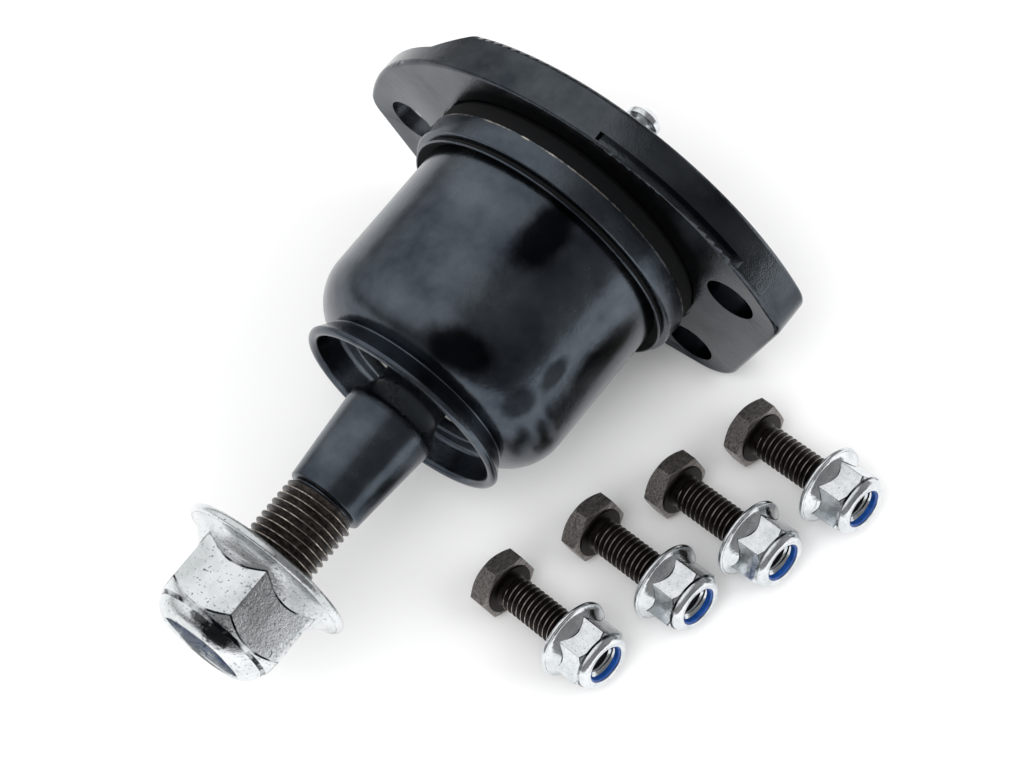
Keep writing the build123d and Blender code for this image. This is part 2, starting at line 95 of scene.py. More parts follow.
# Lengths of the two kinds of flange nut: key, name, description, stud nut, lock nut, in mm.
NUT_LENGTHS = [
    ("face", "Bearing face", "Where the nut's bearing face is, along its thread", 75.0, 14.2),
    ("flange_r", "Flange radius", "Radius of the flange", 14.9, 6.8),
    ("flange_edge", "Flange edge", "Thickness of the flange's edge", 1.5, 0.8),
    ("flange_rise", "Flange rise", "Height where the flange meets the hexagon", 3.2, 1.76),
    ("root_r", "Root radius", "Radius where the flange meets the hexagon's corners", 11.6, 5.4),
    ("flats", "Across flats", "Width across the flats", 20.6, 9.6),
    ("corner_round", "Corner round", "Rounding of the hexagon's corners", 0.35, 0.2),
    ("hex_top", "Hexagon top", "Height of the hexagon's shoulder", 12.2, 5.9),
    ("height", "Height", "Height of the nut", 16.6, 7.9),
    ("crown_r", "Crown radius", "Radius of the crown", 9.8, 4.9),
    ("crown_round", "Crown round", "Rounding of the crown's lip", 3.2, 1.2),
    ("mouth_r", "Mouth radius", "Radius of the crown's opening", 6.95, 3.35),
    ("bore_major", "Bore diameter", "Major diameter of the nut's thread", 12.8, 6.1),
    ("thread_from", "Thread start", "Lead-in that keeps the two threads in step", 0.735, 0.356),
    ("insert_from", "Insert start", "Height where the nylon insert starts", 11.2, 6.6),
    ("insert_wide", "Insert height", "Height of the nylon insert", 3.0, 1.0),
    ("insert_r", "Insert radius", "Outer radius of the nylon insert", 7.9, 4.0),
    ("insert_bore", "Insert bore", "Inner radius of the nylon insert", 6.4, 3.03),
]


# ---------------------------------------------------------------- settings
def length(name, millimetres, description):
    """A length property, given in millimetres and kept in metres."""
    return FloatProperty(name=name, description=description, default=millimetres * MM, unit="LENGTH")


def number(name, value, description, **kind):
    """A factor, a turn or a power; its kind is a unit or a subtype."""
    return FloatProperty(name=name, description=description, default=value, **kind)


def facets(value, about="Facets on each side of its hexagon"):
    """How many facets a piece has."""
    return IntProperty(name="Facets", description=about, default=value, subtype="UNSIGNED")


def colour(name, value, description):
    """A colour property that holds an sRGB hex value."""
    return StringProperty(name=name, description=description, default=value)


def vector(name, value, description, subtype="TRANSLATION"):
    """A place or a direction in the frame."""
    return FloatVectorProperty(name=name, description=description, default=value, subtype=subtype)


def nut_lengths(kind):
    """The length properties of one kind of nut, from its column of the table."""
    return {key: length(name, sizes[kind], about) for key, name, about, *sizes in NUT_LENGTHS}


class HousingSettings(bpy.types.PropertyGroup):
    """Sizes of the bell housing and its clinch band."""
    facets: facets(256, "Facets round a turned piece")
    bell_r: length("Bell radius", 22.7, "Outer radius of the bell's straight side")
    bell_wall: length("Bell wall", 2.4, "Thickness of the bell's side")
    flange_r: length("Flange radius", 24.4, "Radius of the bell's clinched flange")
    flange_thick: length("Flange thickness", 1.6, "Thickness of the bell's clinched flange")
    seat_deep: length("Seat depth", 0.3, "How deep the bell and the band stand in the plate")
    shoulder_start: length("Shoulder start", 31.0, "Height where the bell starts to close")
    shoulder_r: length("Shoulder radius", 9.0, "Radius of the bell's shoulder")
    collar_foot: length("Collar foot", 39.5, "Height where the shoulder meets the collar")
    collar_neck_r: length("Collar neck", 17.4, "Radius of the collar at its foot")
    collar_r: length("Collar radius", 18.8, "Radius of the collar's flared lip")
    collar_top: length("Collar top", 43.2, "Height of the collar's lip")
    collar_wall: length("Collar wall", 1.8, "Thickness of the collar's lip")
    mouth_floor: length("Ledge height", 38.0, "Height of the ledge inside the collar")
    mouth_r: length("Mouth radius", 13.4, "Radius of the opening round the stud")
    mouth_thick: length("Ledge thickness", 2.0, "Thickness of the ledge")
    band_r: length("Band radius", 25.5, "Radius of the band's wide step")
    band_groove_r: length("Band groove radius", 24.2, "Radius of the groove between the step and the lip")
    band_lip_r: length("Band lip radius", 24.6, "Radius of the band's lip")
    # Below this height the band's foot is painted near-black as shade.
    band_foot: length("Band foot", 2.9, "Height of the sealed foot of the band")
    band_step: length("Band step height", 6.9, "Height of the band's wide step")
    band_height: length("Band height", 8.1, "Height of the whole band")
    fit_gap: length("Fit gap", 0.02, "Gap between pieces pressed together")


class StudSettings(bpy.types.PropertyGroup):
    """Sizes of the ball stud."""
    facets: facets(192, "Facets round the stud")
    ball_height: length("Ball height", 24.0, "Height of the ball's centre")
    ball_r: length("Ball radius", 12.7, "Radius of the ball")
    split_gap: length("Split gap", 0.1, "Half the gap between the two half balls")
    peg_r: length("Peg radius", 5.0, "Radius of the peg that the ball cap turns on")
    peg_length: length("Peg length", 7.0, "Length of that peg")
    neck_r: length("Neck radius", 6.0, "Radius of the stud's neck")
    taper_start: length("Taper start", 46.5, "Height where the taper starts")
    taper_r: length("Taper radius", 7.85, "Radius of the taper's wide end")
    taper_end: length("Taper end", 61.8, "Height where the taper ends")
    taper_end_r: length("Taper end radius", 6.6, "Radius of the taper's narrow end")
    shoulder_rise: length("Shoulder length", 4.0, "Length of the rounded shoulder above the neck")
    thread_major: length("Thread diameter", 12.7, "Major diameter of the stud's thread")
    pitch: length("Thread pitch", 1.27, "Pitch of the stud's thread")
    thread_depth: length("Thread depth", 0.72, "Depth of the stud's thread")
    thread_start: length("Thread start", 62.4, "Height where the thread starts")
    stud_end: length("Stud end", 84.0, "Height of the stud's end")


class StudNutSettings(bpy.types.PropertyGroup):
    """Sizes of the flange nut on the stud."""
    __annotations__ = nut_lengths(0)
    facets: facets(26)


class LockNutSettings(bpy.types.PropertyGroup):
    """Sizes of the lock nuts on the loose bolts."""
    __annotations__ = nut_lengths(1)
    facets: facets(16)
    roll: number("Roll", math.radians(30), "Turn of its lowest corner from straight down", unit="ROTATION")


class BoltSettings(bpy.types.PropertyGroup):
    """Sizes of the loose bolts."""
    facets: facets(16)
    count: IntProperty(
        name="Bolts", description="How many bolts lie beside the joint", default=4, subtype="UNSIGNED")
    roll: number("Roll", math.radians(10), "Turn of its lowest corner from straight down", unit="ROTATION")
    major: length("Thread diameter", 6.0, "Major diameter of the bolt's thread")
    pitch: length("Thread pitch", 1.0, "Pitch of the bolt's thread")
    thread_depth: length("Thread depth", 0.55, "Depth of the bolt's thread")
    thread_start: length("Thread start", 1.0, "Distance from the head to the thread")
    length: length("Length", 20.0, "Length under the head")
    head: length("Head height", 3.6, "Height of the head")
    flats: length("Across flats", 10.0, "Width across the head's flats")
    corner_round: length("Corner round", 0.14, "Rounding of the head's corners")
    washer_r: length("Washer face radius", 4.4, "Radius of the washer face under the head")
    washer_rise: length("Washer face height", 0.3, "Height of that washer face")


class FittingSettings(bpy.types.PropertyGroup):
    """Sizes of the grease fitting on the back of the plate."""
    facets: facets(14)
    seat: length("Seat height", -13.6, "Height of the dome that the fitting is screwed into")
    thread_r: length("Thread radius", 2.9, "Radius of its thread")
    thread_length: length("Thread length", 5.0, "Length of its thread")
    thread_depth: length("Thread depth", 0.35, "Depth of its thread")
    pitch: length("Thread pitch", 0.8, "Pitch of its thread")
    flats: length("Across flats", 8.0, "Width across its flats")
    corner_round: length("Corner round", 0.2, "Rounding of its corners")
    chamfer: length("Chamfer", 0.35, "Chamfer of its hexagon's outer face")
    hex_height: length("Hexagon height", 3.0, "Height of its hexagon")
    neck_r: length("Neck radius", 2.1, "Radius of its neck")
    neck_from: length("Neck start", 3.0, "Distance from its tip to its neck")
    flare: length("Flare", 0.6, "Spread of the neck where it meets the hexagon")
    flare_rise: length("Flare height", 1.2, "Height of that flare")
    head_r: length("Head radius", 3.1, "Radius of its head")
    head_from: length("Head start", 1.3, "Distance from its tip to its head's widest part")
    head_to: length("Head end", 2.2, "Distance from its tip to the end of that part")
    nose_r: length("Nose radius", 1.6, "Radius of the flat at its tip")
    out: length("Length", 8.8, "How far it stands out of the dome")
    way_r: length("Bore radius", 1.25, "Radius of its grease way")
    seat_r: length("Ball seat radius", 0.7, "Radius of the hole that the check ball closes")
    seat_deep: length("Ball seat depth", 0.9, "Depth of that hole")


class FinishSettings(bpy.types.PropertyGroup):
    """Colours of the finishes."""
    coat: colour("Black coat", "#363C45", "Baked electrocoat on the bell, the band and the stud")
    coat_worn: colour("Black coat, dull", "#5E656C", "The same coat where it is rubbed dull")
    plate_coat: colour("Plate coat", "#30353B", "Baked electrocoat on the mounting plate")
    plate_worn: colour("Plate coat, dull", "#565B60", "The same coat where it is rubbed dull")
    # Near-black of the painted reflections on the bell, the dark spots on the stud's nut and the painted shade
    # at the band.
    dark_patch: colour("Oil smear", "#07090C", "Dark oil on the bell")
    # Painted shade in the band's groove and under its foot.
    band_shade: colour("Seam sealer", "#050506", "Black sealer at the band's foot and in its groove")
    phosphate: colour("Black phosphate", "#15110F", "Oiled phosphate on the stud's thread")
    # Phosphate crest and rubbed crest are the two tones of the painted highlight on the thread crests; rubbed
    # crest also paints the highlight along the band foot's edge.
    phosphate_edge: colour("Phosphate crest", "#5B524C", "Steel that shows on the thread's crests")
    crest: colour("Rubbed crest", "#DAD2C8", "Nearly bare steel on the thread's crests")
    oxide: colour("Black oxide", "#2B2624", "Black oxide on the bolts' threads")
    oxide_ground: colour("Black oxide, ground", "#645F5C", "Black oxide on the bolts' ground heads")
    oxide_light: colour("Black oxide, brushed", "#B4AEAA", "Ground streaks in the bolts' flats")
    zinc: colour("Bright zinc", "#E4E7E9", "Bright zinc plate on the nuts")
    zinc_dull: colour("Zinc, clouded", "#CDD2D5", "Cloudy streaks in the zinc plate")
    zinc_grey: colour("Zinc, heavy", "#C8CDCE", "Greyer plate on the stud's nut")
    # Painted dark reflection in the nuts' corners and on the flange's rim.
    corner_reflection: colour("Tarnish", "#1E2326", "Dark tarnish in the corners of the zinc plate")
    zinc_pit: colour("Zinc pit", "#7D868C", "Small pits in the zinc plate")
    nylon: colour("Blue nylon", "#184F9E", "Moulded nylon inserts")
    nylon_dark: colour("Blue nylon, shaded", "#103670", "The same nylon where it is rough")
    iron: colour("Sintered iron", "#6D6A66", "Oiled sintered bearing iron")
    plastic: colour("Acetal", "#D8D2C2", "Moulded acetal seat")
    spring: colour("Spring steel", "#8C8F93", "Tempered spring steel")
    rubber: colour("Seal rubber", "#1A1A1A", "Moulded nitrile rubber")
    paper: colour("Floor", "#F8F8F8", "Matt paper sweep")
    flag: colour("Grey flag", "#757575", "Grey card that only the shiny pieces mirror")


class StageSettings(bpy.types.PropertyGroup):
    """The camera, the floor and the lamps."""
    camera_place: vector("Camera", (0.19866, -0.14699, 0.35960), "Where the camera stands")
    camera_forward: vector(
        "Camera direction", (-0.4421, 0.2783, -0.8527), "Which way the camera looks", "DIRECTION")
    camera_up: vector("Camera up", (-0.4677, 0.7397, 0.4839), "Which way is up in the render", "DIRECTION")
    camera_focal: number("Focal length", 2700.0, "Focal length in pixels", subtype="PIXEL")
    floor_height: length("Floor", -29.4, "Height of the floor, level with the plate's straight side")
    floor_size: length("Floor size", 6000.0, "Length of the floor's sides")
    flag_place: vector("Grey flag place", (0.45, -0.05, 0.2), "Where the grey card hangs")
    flag_facing: vector("Grey flag facing", (-1, 0, 0), "Which way it faces", "DIRECTION")
    flag_size: length("Grey flag size", 600.0, "Length of its sides")
    bright_side: vector("Bright side", (-0.55, -0.1, 0.83), "Where the mirrored room is white", "DIRECTION")
    sky_strength: number("Surround", 0.9, "Light from all round", subtype="FACTOR")
    lamp_target: vector("Lamp target", (0, -0.03, 0), "Where the soft boxes look")
    key_power: number("Key lamp", 2.5, "Power of the main soft box", unit="POWER")
    key_place: vector("Key lamp place", (0.2, -0.35, 0.7), "Where the main soft box hangs")
    key_size: length("Key lamp size", 500.0, "Length of its sides")
    side_power: number("Side lamp", 1.5, "Power of the side soft box", unit="POWER")
    side_place: vector("Side lamp place", (0.55, 0.2, 0.45), "Where the side soft box hangs")
    side_size: length("Side lamp size", 400.0, "Length of its sides")


# ---------------------------------------------------------------- shapes
def round_angles(facets):
    return [FULL_TURN * i / facets for i in range(facets)]


def hex_angles(flats, corner_round, per_side):
    """Angles round a hexagon with a corner at 0, with extra ones where its corners are rounded."""
    soft = HEX_SIDE / 2 - math.atan((flats / 2 - corner_round) * math.tan(HEX_SIDE / 2) / (flats / 2))
    span = HEX_SIDE - 2 * soft
    angles = []
    for side in range(6):
        corner = side * HEX_SIDE
        angles += [corner - soft, corner - soft / 2, corner, corner + soft / 2, corner + soft]
        angles += [corner + soft + span * i / per_side for i in range(1, per_side)]
    return sorted(angles)


def hex_radius(angle, flats, corner_round):
    """Distance from the axis to a hexagon's side, its corners rounded."""
    from_flat = abs(angle % HEX_SIDE - HEX_SIDE / 2)
    centre = (flats / 2 - corner_round) / math.cos(HEX_SIDE / 2)
    if math.tan(from_flat) * flats / 2 <= centre / 2:
        return flats / 2 / math.cos(from_flat)
    from_corner = HEX_SIDE / 2 - from_flat
    aside = centre * math.sin(from_corner)
    return centre * math.cos(from_corner) + math.sqrt(max(0, corner_round ** 2 - aside ** 2))


def rounded(corners):
    """Points of an outline from (radius, height, rounding) corners."""
    points = []
    for before, here, after in zip([None] + corners[:-1], corners, corners[1:] + [None]):
        place = Vector(here[:2])
        if before is None or after is None or here[2] == 0:
            points.append(tuple(place))
            continue
        back = Vector(before[:2]) - place
        ahead = Vector(after[:2]) - place
        between = back.angle(ahead)
        turn = math.pi - between
        if turn < math.radians(1):
            points.append(tuple(place))
            continue
        reach = min(here[2] * math.tan(turn / 2), 0.48 * back.length, 0.48 * ahead.length)
        centre = place + (back.normalized() + ahead.normalized()).normalized() * reach / math.cos(between / 2)
        start = place + back.normalized() * reach - centre
        end = place + ahead.normalized() * reach - centre
        steps = max(2, math.ceil(math.degrees(turn) / ROUND_STEP))
        for step in range(steps + 1):
            part = turn * step / steps
            spoke = (start * math.sin(turn - part) + end * math.sin(part)) / math.sin(turn)
            points.append(tuple(centre + spoke))
    return points


def arc(centre, radius, start, end, steps):
    """Points of an arc, its angles in degrees from the radius axis."""
    points = []
    for step in range(steps + 1):
        angle = math.radians(start + (end - start) * step / steps)
        points.append((centre[0] + radius * math.cos(angle), centre[1] + radius * math.sin(angle)))
    return points


def skin(mesh, profile, angles, seam=0, loop=False, marked_rows=()):
    """Faces between neighbouring columns of points; the last joins the first seam rows further on.
    Rows that are marked, counted within the seam where there is one, take the second finish, which is painted
    light: a highlight on thread crests, a dark reflection in a nut's corners."""
    columns = []
    for angle in angles:
        across = Vector((math.cos(angle), math.sin(angle), 0))
        columns.append([mesh.verts.new(across * r + Vector((0, 0, h))) for r, h in profile(angle)])
    rows = len(columns[0])
    for number, column in enumerate(columns):
        last = number == len(columns) - 1
        ahead = columns[0] if last else columns[number + 1]
        shift = seam if last else 0
        for row in range(rows if loop else rows - 1 - shift):
            up = (row + 1) % rows
            face = mesh.faces.new((column[row], ahead[row + shift], ahead[up + shift], column[up]))
            face.material_index = 1 if (row % seam if seam else row) in marked_rows else 0


def turn_profile(mesh, points, angles, loop=False):
    skin(mesh, lambda angle: points, angles, loop=loop)


def screw_thread(mesh, angles, crest, root, pitch, start, end, marked_rows=()):
    """A right-hand thread between two heights, its rows along the helix; it runs out to the root."""
    turns = math.ceil((end - start) / pitch) + 2
    rows = [(turn + phase, depth) for turn in range(turns) for phase, depth in THREAD_FORM]
    lead = abs(crest - root)
    first = angles[0]

    def profile(angle):
        points = []
        for row, depth in rows:
            height = start - pitch + (row + (angle - first) / FULL_TURN) * pitch
            height = min(max(height, start), end)
            share = min(depth, (height - start) / lead, (end - height) / lead)
            points.append((root + (crest - root) * share, height))
        return points

    skin(mesh, profile, angles, seam=len(THREAD_FORM), marked_rows=marked_rows)


def flange_height(nut, radius):
    """Height of the flange's hollow upper face at a radius."""
    rim = nut.flange_r - nut.flange_edge * 0.3
    share = (rim - radius) / (rim - nut.root_r)
    return nut.flange_edge + (nut.flange_rise - nut.flange_edge) * max(0, share) ** FLANGE_HOLLOW


def nut_profile(nut, angle):
    """Outside of a flange nut at one angle, from its bore's foot to its crown's mouth, and the rows
    in its corners and on its flange's rim that take the painted dark reflection."""
    edge, rim, crown, height = nut.flange_edge, nut.flange_r, nut.crown_r, nut.height
    side = hex_radius(angle, nut.flats, nut.corner_round)
    corner = nut.flats / 2 / math.cos(HEX_SIDE / 2)
    drop = corner - nut.flats / 2
    points = rounded([
        (nut.bore_major / 2, 0, 0), (rim, 0, edge * 0.45), (rim, edge, edge * 0.45), (rim - edge, edge, 0),
    ])
    points[-1] = (rim - edge, flange_height(nut, rim - edge))
    rim_row = len(points) - 3
    for step in range(1, FLANGE_STEPS):
        radius = rim - edge + (side + edge * 0.2 - rim + edge) * step / FLANGE_STEPS
        points.append((radius, flange_height(nut, radius)))
    reflection_rows = (rim_row, *(len(points) + row for row in NUT_CORNER_ROWS))
    foot = flange_height(nut, side)
    cone = (corner + CONE_REACH - crown) / (2 * drop)
    top = nut.hex_top - drop + (corner + CONE_REACH - side) / cone
    shoulder = nut.hex_top + drop
    soft = min(edge * 0.12, (top - foot) / 5)
    points += [
        (side + soft, foot - soft * 0.2), (side + soft * 0.2, foot + soft * 0.5), (side, foot + soft * 1.5),
        (side, top - soft * 1.5), (side - soft * 0.15, top - soft * 0.5),
        (side - soft * 0.7, top + soft * 0.4),
        (crown + soft * 2, shoulder - soft * 2.2), (crown + soft * 0.4, shoulder - soft * 0.3),
        (crown, shoulder + soft * 1.2),
    ]
    bend = nut.crown_round
    points += arc((crown - bend, height - bend), bend, 0, 78, CROWN_STEPS)
    lip = bend * 0.28
    points += rounded([
        (points[-1][0] - 0.02 * MM, height, 0), (nut.mouth_r, height - lip * 0.3, lip),
        (nut.mouth_r, nut.insert_from + nut.insert_wide, 0),
    ])
    return points, reflection_rows


def flange_nut(mesh, nut, angles, depth, pitch):
    """A closed flange nut: its outside, the pocket of its insert and its threaded bore."""
    skin(mesh, lambda angle: nut_profile(nut, angle)[0], angles, marked_rows=nut_profile(nut, angles[0])[1])
    bore = nut.bore_major / 2
    pocket_top = nut.insert_from + nut.insert_wide
    turn_profile(mesh, [
        (nut.mouth_r, pocket_top), (nut.insert_r, pocket_top), (nut.insert_r, nut.insert_from),
        (bore, nut.insert_from),
    ], angles)
    turn_profile(mesh, [(bore, 0), (bore, nut.thread_from)], angles)
    screw_thread(mesh, angles, bore - depth, bore, pitch, nut.thread_from, nut.insert_from)


def finish_piece(mesh, name, place, body, nodes, slot, *materials):
    """Makes the object of a drawn mesh, stands it in its place and puts it on its body."""
    bmesh.ops.remove_doubles(mesh, verts=mesh.verts, dist=WELD)
    bmesh.ops.dissolve_degenerate(mesh, edges=mesh.edges, dist=WELD)
    bmesh.ops.recalc_face_normals(mesh, faces=mesh.faces)
    bmesh.ops.transform(mesh, matrix=place, verts=mesh.verts)
    for face in mesh.faces:
        face.smooth = True
    for line in mesh.edges:
        line.smooth = len(line.link_faces) == 2 and line.calc_face_angle() < SHARP_ANGLE
    data = bpy.data.meshes.new(name)
    mesh.to_mesh(data)
    mesh.free()
    piece = bpy.data.objects.new(name, data)
    bpy.context.scene.collection.objects.link(piece)
    for material in materials:
        data.materials.append(material)
    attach(piece, body)
    if nodes:
        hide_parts(*nodes)
    return piece


def keep_node(name, material):
    """Gives a CAD node its finish and soft shading; its shape stays."""
    data = frame["nodes"][name].data
    data.materials.clear()
    data.materials.append(material)
    lines = bmesh.new()
    lines.from_mesh(data)
    soft = {line.index for line in lines.edges
            if len(line.link_faces) == 2 and line.calc_face_angle() <= SHARP_ANGLE}
    lines.free()
    data.polygons.foreach_set("use_smooth", [True] * len(data.polygons))
    data.edges.foreach_set("use_edge_sharp", [i not in soft for i in range(len(data.edges))])


def joint_place():
    """Stands a shape drawn along +Z on the stud's axis."""
    return Matrix.Rotation(math.radians(90), 4, "X")


def bolt_place(number, roll):
    """Stands a shape drawn along +Z on one bolt's axis, its corner turned from straight down."""
    joint = next(j for j in frame["joints"] if j["name"] == f"lock_turn_{number}")
    along = Vector(joint["axis"]).normalized()
    down = Vector((0, 0, -1))
    down = (down - along * down.dot(along)).normalized()
    turned = Matrix((down, along.cross(down), along)).transposed().to_4x4()
    head_face = Vector(joint["pos_m"]) - along * bpy.context.scene.ball_joint_bolts.length
    return Matrix.Translation(head_face) @ turned @ Matrix.Rotation(roll, 4, "Z")


# ---------------------------------------------------------------- finishes
def linear(hex_colour):
    """Linear RGBA of an sRGB hex colour."""
    values = [int(hex_colour[i:i + 2], 16) / 255 for i in (1, 3, 5)]
    return [v / 12.92 if v <= 0.04045 else ((v + 0.055) / 1.055) ** 2.4 for v in values] + [1.0]


def grey(value):
    return (value, value, value, 1.0)


def per_mm(size):
    """Texture scale at which a pattern's features are about that many millimetres."""
    return 1 / (size * MM)


def add_node(tree, kind, inputs=None, stops=None, **settings):
    """Adds a node with its settings, its ramp stops and its inputs, which are values or outputs."""
    node = tree.nodes.new("ShaderNode" + kind)
    for name, value in settings.items():
        setattr(node, name, value)
    for number, (place, shade) in enumerate(stops or []):
        elements = node.color_ramp.elements
        stop = elements[number] if number < len(elements) else elements.new(place)
        stop.position = place
        stop.color = shade
    for name, value in (inputs or {}).items():
        if isinstance(value, bpy.types.NodeSocket):
            tree.links.new(value, node.inputs[name])
        else:
            node.inputs[name].default_value = value
    return node


def set_shader(material, **inputs):
    """Gives the principled shader its inputs, which are values or outputs, and returns the material."""
    tree = material.node_tree
    shader = tree.nodes["Principled BSDF"]
    for name, value in inputs.items():
        socket = shader.inputs[name.replace("_", " ")]
        if isinstance(value, bpy.types.NodeSocket):
            tree.links.new(value, socket)
        else:
            socket.default_value = value
    return material


def new_material(**values):
    """A material, its tree and the places on the piece that its patterns are laid by."""
    material = bpy.data.materials.new("finish")
    material.use_nodes = True
    set_shader(material, **values)
    tree = material.node_tree
    return material, tree, add_node(tree, "TexCoord").outputs["Object"]


def grained(dark, light, size, detail=4.0, grit=0.5, relief=(), stretch=None, **values):
    """A surface of two colours, given as (place, hex) stops and mixed by one grain; relief is the
    strength and depth of the bump that the grain makes."""
    material, tree, place = new_material(**values)
    if stretch:
        place = add_node(tree, "Mapping", {"Vector": place, "Scale": stretch}).outputs["Vector"]
    grain = add_node(tree, "TexNoise", {
        "Vector": place, "Scale": per_mm(size), "Detail": detail, "Roughness": grit}).outputs["Fac"]
    shade = add_node(tree, "ValToRGB", {"Fac": grain}, [(stop, linear(value)) for stop, value in (dark, light)])
    if relief:
        strength, depth = relief
        bump = add_node(tree, "Bump", {"Height": grain, "Strength": strength, "Distance": depth * MM})
        set_shader(material, Normal=bump.outputs["Normal"])
    return set_shader(material, Base_Color=shade.outputs["Color"])


def moulded(light, dark, size, **values):
    """A moulded or sintered surface: nearly even in colour, with a fine matt grain."""
    return grained((0.3, dark), (0.7, light), size, relief=(0.15, 0.1), **values)


def darken_patch(tree, place, clouds, colours, dark_patch, spot, reach, most):
    """Darkens the colours softly round a spot, with a cloudy outline."""
    spot = [-value * MM for value in spot]
    scale = [1 / (side * MM) for side in reach]
    local = add_node(tree, "VectorMath", {0: place, 1: spot}, operation="ADD")
    inside = add_node(tree, "VectorMath", {0: local.outputs["Vector"], 1: scale}, operation="MULTIPLY")
    away = add_node(tree, "VectorMath", {0: inside.outputs["Vector"]}, operation="LENGTH")
    ragged = add_node(tree, "Math", {0: clouds, 1: 0.9, 2: away.outputs["Value"]},
                      operation="MULTIPLY_ADD")
    cover = add_node(tree, "MapRange", {
        "Value": ragged.outputs["Value"], "From Min": 1.0, "From Max": 1.6, "To Min": most, "To Max": 0.0,
    }, interpolation_type="SMOOTHSTEP")
    return add_node(tree, "Mix", {0: cover.outputs["Result"], 6: colours, 7: linear(dark_patch)},
                    data_type="RGBA").outputs[2]


def baked_electrocoat(finish, light, dark, smooth, dull, grit, dark_patches=()):
    """Baked black electrocoat over pressed steel: a thin smoky film on the metal, dark and glossy
    enough to mirror its neighbours, with cloudy dull patches, near-black patches and a fine grain; on the bell
    those near-black patches are painted reflections."""
    material, tree, place = new_material(Metallic=1.0)
    clouds = add_node(tree, "TexNoise", {
        "Vector": place, "Scale": per_mm(11), "Detail": 7.0, "Roughness": 0.6}).outputs["Fac"]
    shade = add_node(tree, "ValToRGB", {"Fac": clouds}, [(0.32, linear(dark)), (0.68, linear(light))])
    gloss = add_node(tree, "ValToRGB", {"Fac": clouds}, [(0.3, grey(smooth)), (0.7, grey(dull))])
    peel = add_node(tree, "TexNoise", {"Vector": place, "Scale": per_mm(1.3), "Detail": 3.0})
    grain = add_node(tree, "TexNoise", {"Vector": place, "Scale": per_mm(0.28), "Detail": 3.0})
    coarse = add_node(tree, "Bump", {"Height": peel.outputs["Fac"], "Strength": 0.1, "Distance": 0.3 * MM})
    fine = add_node(tree, "Bump", {
        "Height": grain.outputs["Fac"], "Normal": coarse.outputs["Normal"], "Strength": grit,
        "Distance": 0.1 * MM})
    colours = shade.outputs["Color"]
    # On the bell these dark patches are painted reflections of dark things round it.
    for dark_patch in dark_patches:
        colours = darken_patch(tree, place, clouds, colours, finish.dark_patch, *dark_patch)
    return set_shader(material, Base_Color=colours, Roughness=gloss.outputs["Color"],
                      Normal=fine.outputs["Normal"])


def glossy_electrocoat(finish):
    """Thick electrocoat on the plate: dark and even, with sharp gleams and a pimpled grain."""
    return baked_electrocoat(finish, finish.plate_worn, finish.plate_coat, 0.08, 0.18, 0.42)


def satin_electrocoat(finish):
    """Thin electrocoat on the band and the stud: soft blurred gleams."""
    return baked_electrocoat(finish, finish.coat_worn, finish.coat, 0.2, 0.32, 0.12)


def bell_coat_painted_reflections(finish):
    """The coat on the bell: soft gleams and near-black patches with smoky edges, which are painted reflections
    of dark things round it.
    """
    return baked_electrocoat(finish, finish.coat_worn, finish.coat, 0.16, 0.3, 0.12, BELL_PAINTED_REFLECTIONS)


def band_painted_shade(finish):
    """Painted shade in the band's groove and under its foot: near-black, matt and slightly lumpy."""
    return moulded(finish.band_shade, finish.dark_patch, 0.8, Roughness=0.75, IOR=1.4)


def oiled_phosphate(finish):
    """Oiled manganese phosphate on rolled steel thread: nearly black and brown, a soft oily sheen."""
    return grained((0.42, finish.phosphate), (0.8, finish.phosphate_edge), 0.7, 5.0, 0.7, (0.25, 0.1),
                   Metallic=0.55, Roughness=0.34)


def crest_highlight(finish):
    """Painted highlight on rolled steel thread crests: thin light grey-brown lines with a few sparkles, in the
    colour of steel rubbed nearly bare.
    """
    return grained((0.35, finish.phosphate_edge), (0.75, finish.crest), 0.9, grit=0.7,
                   Metallic=1.0, Roughness=0.24)


def band_edge_highlight(finish):
    """Painted highlight along the upper edge of the band's foot: a thin bright line in the colour of bare
    steel, broken into sparkles.
    """
    return grained((0.44, finish.coat_worn), (0.6, finish.crest), 2.0, 6.0, 0.7, Metallic=1.0, Roughness=0.28)


